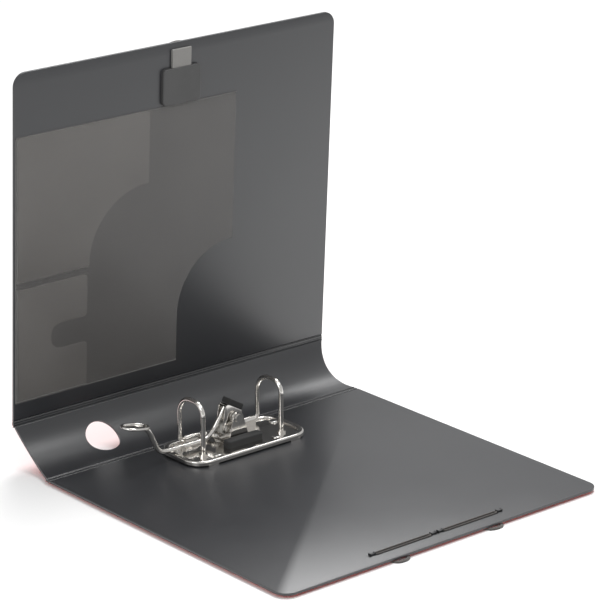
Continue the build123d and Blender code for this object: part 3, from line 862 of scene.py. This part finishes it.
@dataclass
class Label:
    """The label card under a clear film with a grey welded rim."""

    shape: FileShape
    low: float = 19.0
    length: float = 111.0
    width: float = 37.0
    corner: float = 4.5
    rim: float = 1.5
    card: float = 0.3
    room: float = 0.3
    rule_places: tuple[float, ...] = (0.28, 0.42, 0.56, 0.7)
    rule_margin: float = 4.0
    rule: float = 0.28
    seam: float = 0.02
    cover: float = 0.3

    def sheet(self, inset: float, low: float, thick: float) -> bmesh.types.BMesh:
        """Return a rounded slab on the spine, inset from the holder's outline."""
        half = self.width / 2 - inset
        start, end = self.low + inset, self.low + self.length - inset
        bm = bmesh.new()
        verts = flat_face(bm, ((start, -half), (end, -half), (end, half), (start, half)))
        for vert in verts:
            round_corner(bm, vert, max(1.0, self.corner - inset), 6)
        thicken(bm, thick)
        bmesh.ops.translate(bm, verts=bm.verts, vec=(0, 0, (self.shape.board / 2 + low) * MM))
        return bm

    def rim_layer(self, low: float, thick: float, open_end: bool) -> bmesh.types.BMesh:
        """Return one layer of the welded rim.

        Args:
            low: its lower face over the spine's skin.
            thick: its thickness.
            open_end: whether the upper end is left out, so that the card can slide through it.

        Returns:
            The layer.
        """
        half = self.width / 2
        end = self.low + self.length
        bm = bmesh.new()
        for vert in flat_face(bm, ((self.low, -half), (end, -half), (end, half), (self.low, half))):
            round_corner(bm, vert, self.corner, 6)
        bmesh.ops.inset_region(
            bm, faces=list(bm.faces), thickness=self.rim * MM, use_boundary=True, use_even_offset=True
        )
        spare = [max(bm.faces, key=lambda face: face.calc_area())]
        if open_end:
            clear = (half - self.rim - self.room / 2) * MM
            start = (end - self.corner + self.room) * MM
            spare += [
                face
                for face in bm.faces
                if max(v.co.x for v in face.verts) > start and min(abs(v.co.y) for v in face.verts) < clear
            ]
        bmesh.ops.delete(bm, geom=list(set(spare)), context="FACES")
        thicken(bm, thick, 0.06)
        bmesh.ops.translate(bm, verts=bm.verts, vec=(0, 0, (self.shape.board / 2 + low) * MM))
        return bm

    def frame_of_rim(self) -> bmesh.types.BMesh:
        """Return the rim: three sides beside the card, and a closed frame above it."""
        slot = self.card + 2 * self.room
        bm = self.rim_layer(0, slot - self.seam, True)
        join(bm, self.rim_layer(slot, self.cover, False))
        return bm

    def rules(self) -> bmesh.types.BMesh:
        """Return the printed rule lines as hair-thin strips on the card."""
        bm = bmesh.new()
        top = self.low + self.length
        half = self.width / 2 - self.rim - self.rule_margin
        for share in self.rule_places:
            x = top - share * self.length
            flat_face(bm, ((x, -half), (x + self.rule, -half), (x + self.rule, half), (x, half)))
        thicken(bm, 0.03)
        lift = self.shape.board / 2 + self.room + self.card
        bmesh.ops.translate(bm, verts=bm.verts, vec=(0, 0, lift * MM))
        return bm

    def build(self) -> None:
        """Build the card, its rule lines, the rim and the film."""
        card = self.sheet(self.rim + self.room, self.room, self.card)
        self.shape.wrap(card)
        make_piece(card, "ruled_card", Finishes.CARD, "label", ["label_card"])
        rules = self.rules()
        self.shape.wrap(rules)
        make_piece(rules, "rule_lines", Finishes.RULE, "label")
        rim = self.frame_of_rim()
        self.shape.wrap(rim)
        make_piece(rim, "label_rim", Finishes.LABEL_RIM, "spine", ["label_holder"])
        film = self.sheet(self.rim * 0.6, self.card + 2 * self.room, 0.12)
        self.shape.wrap(film)
        make_piece(film, "label_film", Finishes.CLEAR, "spine")


@dataclass
class Pockets:
    """Three films welded inside the front cover."""

    shape: FileShape
    left: float = -157.5
    low: float = 17.0
    top: float = 235.0
    large: tuple[float, float, float] = (215.0, 56.0, 38.0)
    upper: tuple[float, float, float] = (128.0, 118.0, 58.0)
    lower: tuple[float, float] = (68.5, 95.0)
    notch: tuple[float, float, float] = (35.0, 21.0, 38.0)
    film: float = 0.18
    bead: float = 0.42
    rim: float = 1.6

    def outline(self, name: str) -> tuple[list[tuple[float, float]], dict[int, float]]:
        """Return a pocket's corners, counted anticlockwise, and the radius of each rounded one."""
        if name == "large_pocket":
            right, cut = self.left + self.large[0], self.left + self.large[0] - self.large[1]
            shoulder = self.low + self.large[2] + self.large[1]
            corners = [(self.left, self.low), (cut, self.low), (cut, shoulder), (right, shoulder)]
            return [*corners, (right, self.top), (self.left, self.top)], {2: self.large[1] * 0.98, 4: 4.0}
        if name == "upper_pocket":
            right, cut = self.left + self.upper[0], self.left + self.upper[0] - self.upper[2]
            low = self.top - self.upper[1]
            shoulder = low + self.upper[2]
            corners = [(self.left, low), (cut, low), (cut, shoulder), (right, shoulder)]
            return [*corners, (right, self.top), (self.left, self.top)], {2: self.upper[2] * 0.98, 4: 4.0}
        right, high = self.left + self.lower[0], self.low + self.lower[1]
        inner = right - self.notch[0]
        notch_low = self.low + self.notch[2]
        notch_high = notch_low + self.notch[1]
        corners = [(self.left, self.low), (right, self.low), (right, notch_low), (inner, notch_low)]
        corners += [(inner, notch_high), (right, notch_high), (right, high), (self.left, high)]
        return corners, {1: 5.0, 2: 4.0, 3: self.notch[1] * 0.47, 4: self.notch[1] * 0.47, 5: 4.0, 6: 5.0}

    def film_sheet(self, name: str, height: float, finish: Finishes) -> None:
        """Build one film, puffed a little inside its welded rim.

        Args:
            name: the pocket's node.
            height: its lower face over the lining.
            finish: its finish.
        """
        corners, radii = self.outline(name)
        bm = bmesh.new()
        verts = flat_face(bm, corners)
        for index, radius in radii.items():
            round_corner(bm, verts[index], radius, 14)
        bmesh.ops.inset_region(
            bm, faces=list(bm.faces), thickness=self.rim * MM, use_boundary=True, use_even_offset=True
        )
        inner = max(bm.faces, key=lambda face: face.calc_area())
        bmesh.ops.translate(bm, verts=inner.verts, vec=(0, 0, self.film * MM))
        thicken(bm, self.film)
        plane = self.shape.front_plane(self.shape.board / 2 + height)
        bmesh.ops.transform(bm, matrix=plane, verts=bm.verts)
        make_piece(bm, f"{name}_film", finish, "front_cover", [name])

    def weld(self, name: str, height: float, runs: Sequence[Sequence[tuple[float, float]]]) -> None:
        """Build the pressed bead along a pocket's welded sides.

        Args:
            name: the piece's name.
            height: the bead's middle over the lining.
            runs: the welded sides, each a list of corners.
        """
        plane = self.shape.front_plane(self.shape.board / 2 + height)
        bm = bmesh.new()
        for run in runs:
            places = []
            for first, last in zip(run, run[1:]):
                a, b = Vector((*first, 0)), Vector((*last, 0))
                places += [a.lerp(b, share) for share in (0, 0.02, 0.98)]
            places.append(Vector((*run[-1], 0)))
            join(bm, rod_mesh([plane @ (p * MM) for p in places], self.bead, sides=2, steps=3))
        make_piece(bm, name, Finishes.WELD, "front_cover")

    def build(self) -> None:
        """Build the films and their welds."""
        self.film_sheet("large_pocket", 0.02, Finishes.FILM)
        self.film_sheet("upper_pocket", 0.45, Finishes.UPPER_FILM)
        self.film_sheet("lower_pocket", 0.45, Finishes.UPPER_FILM)
        left, low, top = self.left, self.low, self.top
        right = left + self.large[0]
        cut = right - self.large[1]
        self.weld("large_pocket_weld", 0.2, [[(right, top), (left, top), (left, low), (cut, low)]])
        base = top - self.upper[1]
        cut = left + self.upper[0] - self.upper[2]
        self.weld("upper_pocket_weld", 0.6, [[(left + 1, top - 1), (left + 1, base), (cut, base)]])
        across = left + self.lower[0]
        high = low + self.lower[1]
        run = [(across, high), (left + 1, high), (left + 1, low + 1), (across, low + 1)]
        self.weld("lower_pocket_weld", 0.6, [run])


@dataclass
class PullStrap:
    """The folded tape that stands out of the backing plate."""

    shape: FileShape
    width: float = 18.5
    start: float = 258.0
    end: float = 281.0
    tape: float = 0.95
    over: float = 2.1

    def build(self) -> None:
        """Build the tape as a folded profile, drawn out across its width."""
        half = self.width / 2
        r = self.over / 2
        turns = 8
        outer = [(self.start, 0.05), (self.end - r, 0.05)]
        outer += [
            (self.end - r + r * math.sin(math.pi * k / turns), r + 0.05 - r * math.cos(math.pi * k / turns))
            for k in range(1, turns)
        ]
        outer += [(self.end - r, self.over + 0.05), (self.start, self.over + 0.05)]
        inner_r = max(0.08, r - self.tape)
        inner = [(self.start, r + inner_r + 0.05), (self.end - r, r + inner_r + 0.05)]
        inner += [(self.end - r + inner_r, r + 0.05), (self.end - r, r - inner_r + 0.05)]
        inner += [(self.start, r - inner_r + 0.05)]
        bm = bmesh.new()
        ring = [bm.verts.new((-half * MM, v * MM, h * MM)) for v, h in [*outer, *inner]]
        bm.faces.new(ring)
        made = bmesh.ops.extrude_face_region(bm, geom=list(bm.faces), use_keep_orig=True)
        moved = [v for v in made["geom"] if isinstance(v, bmesh.types.BMVert)]
        bmesh.ops.translate(bm, verts=moved, vec=(self.width * MM, 0, 0))
        bmesh.ops.transform(bm, matrix=self.shape.front_plane(self.shape.board / 2), verts=bm.verts)
        make_piece(bm, "folded_strap", Finishes.STRAP, "front_cover", ["pull_strap"])


@dataclass
class Elastic:
    """The elastic closure: a loose outer strand and two doubled inner runs."""

    shape: FileShape
    thick: float = 1.6
    width: float = 3.0
    hole_in: float = 14.0
    outer_x: float = 64.0
    inner_x: float = 3.5
    fold_x: float = 46.0
    fold_out: float = 2.6
    hook_x: float = 9.0
    strand: float = 0.62
    clip_size: tuple[float, float, float] = (5.2, 3.2, 2.2)
    clip_pinch: float = 0.62
    run_half: float = 1.45
    clip: float = 5.0

    def outer_half(self, side: int) -> None:
        """Build half of the outer strand: held at its hole, swinging from the fold inwards."""
        edge = self.shape.back_line.y / MM - self.shape.depth
        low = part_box("elastic_strand")[0]
        hook_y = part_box("elastic_strand")[1].y / MM - self.width / 2
        half = self.thick / 2
        route = [
            (self.outer_x, edge + self.hole_in),
            (self.outer_x - 4, edge + self.hole_in * 0.7),
            (self.fold_x + 8.0, edge + 1.2),
            (self.fold_x + 6.0, edge - self.fold_out),
            (self.fold_x - 3.0, edge - self.fold_out),
            (self.fold_x - 6.5, edge + 1.5),
            (self.hook_x * 3, edge + 19.0),
            (self.hook_x * 1.6, hook_y - 4.5),
            (self.hook_x * 0.9, hook_y),
            (0.0, hook_y),
        ]
        places = [Vector((side * x * MM, y * MM, half * MM + low.z)) for x, y in route]
        bm = rod_mesh(places, self.width / 2, sides=6, steps=10)
        middle = Vector((0, 0, half * MM + low.z))
        squeeze = Matrix.Translation(middle) @ Matrix.Diagonal((1, 1, self.thick / self.width, 1))
        bmesh.ops.transform(bm, matrix=squeeze @ Matrix.Translation(-middle), verts=bm.verts)
        name = "left" if side < 0 else "right"
        hides = ["elastic_strand"] if side < 0 else []
        piece = make_piece(bm, f"outer_elastic_{name}", Finishes.ELASTIC, "", hides)
        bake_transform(piece)

    def inner_run(self, side: int) -> bmesh.types.BMesh:
        """Return one doubled inner run as a long narrow loop."""
        plane = self.shape.back_plane(self.shape.board / 2)
        v = -(self.shape.depth - self.hole_in)
        near, far = self.inner_x + self.clip / 2, self.outer_x - self.clip / 2
        w = self.run_half
        corners = [(near + 1, v - w), (near + 6, v - w), (far - 6, v - w), (far - 1, v - w), (far, v)]
        corners += [(far - 1, v + w), (far - 6, v + w), (near + 6, v + w), (near + 1, v + w), (near, v)]
        places = [plane @ Vector((side * x * MM, y * MM, self.strand * MM)) for x, y in corners]
        return rod_mesh(places, self.strand, closed=True, sides=3, steps=6)

    def clips(self) -> None:
        """Build the barbed metal ends, each a bar with a pinched tooth on both sides."""
        plane = self.shape.back_plane(self.shape.board / 2)
        v = -(self.shape.depth - self.hole_in)
        bm = bmesh.new()
        for x in (-self.outer_x, -self.inner_x, self.inner_x, self.outer_x):
            bar = bmesh.new()
            bmesh.ops.create_cube(bar, size=1.0)
            bmesh.ops.subdivide_edges(bar, edges=list(bar.edges), cuts=2, use_grid_fill=True)
            long, wide, high = self.clip_size
            for vert in bar.verts:
                pinch = self.clip_pinch if abs(vert.co.x) < 0.3 else 1.0
                spot = vert.co
                vert.co = Vector((spot.x * long, spot.y * wide * pinch, (spot.z + 0.5) * high * pinch))
            bmesh.ops.bevel(
                bar, geom=list(bar.edges), offset=0.22, segments=1, affect="EDGES", profile=0.5, material=-1
            )
            place = Matrix.Translation((x * MM, v * MM, 0)) @ Matrix.Scale(MM, 4)
            bmesh.ops.transform(bar, matrix=place, verts=bar.verts)
            join(bm, bar)
        bmesh.ops.transform(bm, matrix=plane, verts=bm.verts)
        make_piece(bm, "barbed_clips", Finishes.CLIP, "back_cover", ["elastic_clips"])

    def build(self) -> None:
        """Build the strand's halves, the inner runs and the clips."""
        for side in (-1, 1):
            self.outer_half(side)
        runs = self.inner_run(-1)
        join(runs, self.inner_run(1))
        make_piece(runs, "doubled_runs", Finishes.ELASTIC, "back_cover", ["elastic_runs"])
        self.clips()


@dataclass
class Lever:
    """The lever: two cheeks, the bent arm with its looped grip, and the coil spring on its pin."""

    shape: FileShape
    run_low: float = 8.0
    foot_x: float = -21.0
    heel_x: float = -71.0
    neck: tuple[float, float] = (-85.0, 34.3)
    tip: tuple[float, float] = (-101.0, 37.3)
    top: tuple[float, float] = (-5.5, 31.0)
    rear: tuple[float, float] = (6.5, 24.9)
    pivot: tuple[float, float] = (1.5, 22.4)
    arm: float = 12.0
    cheek: float = 1.1
    side: float = 3.65
    grip_width: float = 15.0
    wire: float = 1.35
    rod: float = 2.1
    boss: float = 3.3
    boss_lift: float = 0.25
    spring_wire: float = 0.38
    spring_turns: float = 2.6

    def place(self, x: float, h: float, off: float = 0.0) -> Vector:
        """Return a point on the lever's middle plane, off to the side by so many mm, in the row frame."""
        middle = (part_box("roller")[0].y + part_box("roller")[1].y) / 2
        inner = self.shape.back_line.z + self.shape.board / 2 * MM
        return Vector((x * MM, middle + off * MM, inner + h * MM))

    def disc(self, x: float, h: float, off: float, radius: float, thick: float) -> bmesh.types.BMesh:
        """Return a disc square to the lever's pin, its middle at off."""
        bm = bmesh.new()
        bmesh.ops.create_cone(
            bm, cap_ends=True, segments=28, radius1=radius * MM, radius2=radius * MM, depth=thick * MM
        )
        turn = Matrix.Translation(self.place(x, h, off)) @ Matrix.Rotation(math.pi / 2, 4, "X")
        bmesh.ops.transform(bm, matrix=turn, verts=bm.verts)
        return bm

    def cheeks(self) -> bmesh.types.BMesh:
        """Return the two cheeks, each the hull of four discs, with a pressed boss round the pin."""
        roller = (self.pivot[0] - self.arm / math.sqrt(2), self.pivot[1] - self.arm / math.sqrt(2))
        both = bmesh.new()
        for way in (-1, 1):
            off = way * (self.side + self.cheek / 2)
            bm = bmesh.new()
            for (x, h), radius in ((self.pivot, 4.0), (roller, 4.0), (self.top, 3.0), (self.rear, 2.2)):
                join(bm, self.disc(x, h, off, radius, self.cheek))
            hull = bmesh.ops.convex_hull(bm, input=list(bm.verts))
            inside = [*hull["geom_interior"], *hull["geom_unused"]]
            spare = {item for item in inside if isinstance(item, bmesh.types.BMVert)}
            bmesh.ops.delete(bm, geom=list(spare), context="VERTS")
            bmesh.ops.dissolve_limit(
                bm, angle_limit=math.radians(2), verts=list(bm.verts), edges=list(bm.edges)
            )
            rim = [e for e in bm.edges if len(e.link_faces) == 2 and e.calc_face_angle() > math.radians(60)]
            bmesh.ops.bevel(
                bm, geom=rim, offset=0.25 * MM, segments=2, affect="EDGES", profile=0.5, material=-1
            )
            join(both, bm)
            join(both, self.disc(*self.pivot, off + way * self.boss_lift, self.boss, self.cheek))
        return both

    def arm_rod(self) -> bmesh.types.BMesh:
        """Return the bent arm from the cheeks down, along and up to the grip."""
        xs = (self.foot_x, self.run_low)
        points = [
            self.place(*self.top),
            self.place(self.top[0] - 7.0, self.top[1] - 10.5),
            self.place(xs[0] + 3.0, xs[1] + 5.0),
            self.place(xs[0] - 5.0, xs[1]),
            self.place(self.foot_x - 24.0, self.run_low),
            self.place(self.heel_x + 8.0, self.run_low),
            self.place(self.heel_x - 1.0, self.run_low + 1.5),
            self.place(self.heel_x - 6.5, self.run_low + 13.0),
            self.place(self.neck[0] + 3.5, self.neck[1] - 4.5),
            self.place(self.neck[0] - 1.5, self.neck[1] + 0.2),
        ]
        return rod_mesh(points, self.rod, sides=6, steps=10)

    def grip(self) -> bmesh.types.BMesh:
        """Return the flattened loop of the grip, with a thin pressed web inside it."""
        slope = math.atan2(self.tip[1] - self.neck[1], self.tip[0] - self.neck[0])
        half = self.grip_width / 2
        corners = [(-2, 2.2), (3, half - 1), (10, half), (17, half - 0.5), (21, half * 0.45)]
        ring = [*corners, *[(a, -b) for a, b in reversed(corners)]]
        places = []
        for run, off in ring:
            x = self.neck[0] + run * math.cos(slope)
            h = self.neck[1] + run * math.sin(slope)
            places.append(self.place(x, h, off))
        bm = rod_mesh(places, self.wire, closed=True, sides=4, steps=8)
        web = bmesh.new()
        centre = sum(places, Vector()) / len(places)
        web.faces.new([web.verts.new(centre.lerp(p, 0.93)) for p in places])
        made = bmesh.ops.extrude_face_region(web, geom=list(web.faces), use_keep_orig=True)
        moved = [v for v in made["geom"] if isinstance(v, bmesh.types.BMVert)]
        bmesh.ops.translate(web, verts=moved, vec=(0, 0, -0.7 * MM))
        join(bm, web)
        return bm

    def spring(self) -> None:
        """Build the coil spring on the pin, between the cheek and the ear."""
        low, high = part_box("lever_spring")
        middle = (low + high) / 2
        wire, steps = self.spring_wire, 12
        radius = (high.z - low.z) / 2 - wire * MM
        count = int(self.spring_turns * steps)
        reach = high.y - low.y - 2 * wire * MM
        points = []
        for k in range(count + 1):
            angle = 2 * math.pi * k / steps
            y = low.y + wire * MM + reach * k / count
            x, z = middle.x + radius * math.cos(angle), middle.z + radius * math.sin(angle)
            points.append(Vector((x, y, z)))
        bm = rod_mesh(points, wire, sides=3, steps=3)
        make_piece(bm, "pin_spring", Finishes.SPRING, "back_cover", ["lever_spring"])

    def build(self) -> None:
        """Build the lever as one piece, and the spring."""
        bm = self.cheeks()
        join(bm, self.arm_rod())
        join(bm, self.grip())
        make_piece(bm, "bent_lever", Finishes.CHROME, "lever", ["lever_arm"])
        self.spring()


@dataclass
class FrameDress:
    """Finishes for the parts whose shape is the frame's own."""

    finishes: dict[str, Finishes] = field(default_factory=lambda: {
        "ring_button": Finishes.RING,
        "backing_plate": Finishes.PLATE,
        "base_plate": Finishes.CHROME,
        "mount_rivets": Finishes.RIVET,
        "ring_posts": Finishes.CHROME,
        "arch_frame": Finishes.CHROME,
        "rod_saddles": Finishes.CHROME,
        "lever_bracket": Finishes.CHROME,
        "lever_pin": Finishes.RIVET,
        "lever_cap": Finishes.BLACK,
        "guide_block": Finishes.BLACK,
        "roller": Finishes.NYLON,
        "roller_pin": Finishes.RIVET,
    })

    def build(self) -> None:
        """Assign each node's finish."""
        for name, finish in self.finishes.items():
            node = frame["nodes"][name]
            for slot in node.material_slots:
                slot.material = finish.material
            log.info("%s: dressed in %s", name, finish.value.name)


@dataclass
class Studio:
    """The pale floor, the soft lights and the camera."""

    azimuth: float = -40.25
    elevation: float = 18.8
    surroundings: float = 0.6
    distance: float = 2.3585
    lens: float = 185.46
    aim_off: tuple[float, float, float] = (-0.0057, -0.0002, -0.0119)
    floor_size: float = 12.0
    light_aim: tuple[float, float, float] = (0, 0, 0.1)

    def floor(self) -> None:
        """Lay the floor."""
        bm = bmesh.new()
        bmesh.ops.create_grid(bm, x_segments=1, y_segments=1, size=self.floor_size / 2)
        mesh = bpy.data.meshes.new("floor")
        bm.to_mesh(mesh)
        bm.free()
        plane = bpy.data.objects.new("floor", mesh)
        bpy.context.collection.objects.link(plane)
        bench = Bench("pale_floor")
        haze = bench.noise(400, 2)
        colour = bench.mix(haze, (0.86, 0.86, 0.86), (0.88, 0.88, 0.88))
        bench.feed(Base_Color=colour, Roughness=0.7 + haze * 0.1, Specular_IOR_Level=0.2)
        mesh.materials.append(bench.material)

    def light(self, name: str, place: tuple[float, float, float], size: float, power: float) -> None:
        """Hang a square soft light that points low into the file.

        Args:
            name: its name.
            place: where it hangs, in metres.
            size: its side, in metres.
            power: its power, in watts.
        """
        lamp = bpy.data.lights.new(name, "AREA")
        lamp.size = size
        lamp.energy = power
        holder = bpy.data.objects.new(name, lamp)
        holder.location = place
        aim = Vector(self.light_aim) - Vector(place)
        holder.rotation_euler = aim.to_track_quat("-Z", "Y").to_euler()
        bpy.context.collection.objects.link(holder)

    def camera(self) -> None:
        """Stand the camera at its angle."""
        low, high = (Vector(corner) for corner in cad_box)
        target = (low + high) / 2 + Vector(self.aim_off)
        turn, rise = math.radians(self.azimuth), math.radians(self.elevation)
        level = math.cos(rise)
        forward = Vector((-math.sin(turn) * level, math.cos(turn) * level, -math.sin(rise)))
        lens = bpy.data.cameras.new("camera")
        lens.lens = self.lens
        lens.sensor_width = 36
        lens.clip_end = 50
        holder = bpy.data.objects.new("camera", lens)
        holder.location = target - forward * self.distance
        holder.rotation_euler = forward.to_track_quat("-Z", "Y").to_euler()
        bpy.context.collection.objects.link(holder)
        bpy.context.scene.camera = holder

    def build(self) -> None:
        """Set up floor, lights, surroundings and camera."""
        self.floor()
        self.light("key", place=(0.9, 0.7, 2.2), size=1.3, power=46)
        self.light("near", place=(0.25, -0.3, 0.95), size=0.4, power=3)
        self.light("side", place=(-1.8, -0.4, 1.1), size=1.0, power=9)
        world = bpy.data.worlds.new("studio")
        world.use_nodes = True
        world.node_tree.nodes["Background"].inputs[0].default_value = (1, 1, 1, 1)
        world.node_tree.nodes["Background"].inputs[1].default_value = self.surroundings
        bpy.context.scene.world = world
        bpy.context.scene.view_settings.view_transform = "Standard"
        self.camera()


def main() -> None:
    """Build the file, sub-assembly by sub-assembly, and the studio round it."""
    logging.basicConfig(level=logging.INFO, format="%(message)s")
    shape = FileShape()
    builders = [
        Studio(),
        Covers(shape),
        Spine(shape),
        LivingHinge(shape, "back_hinge", False),
        LivingHinge(shape, "front_hinge", True),
        Label(shape),
        Pockets(shape),
        PullStrap(shape),
        Elastic(shape),
        Lever(shape),
        FrameDress(),
    ]
    for builder in builders:
        builder.build()


if __name__ == "__main__":
    main()
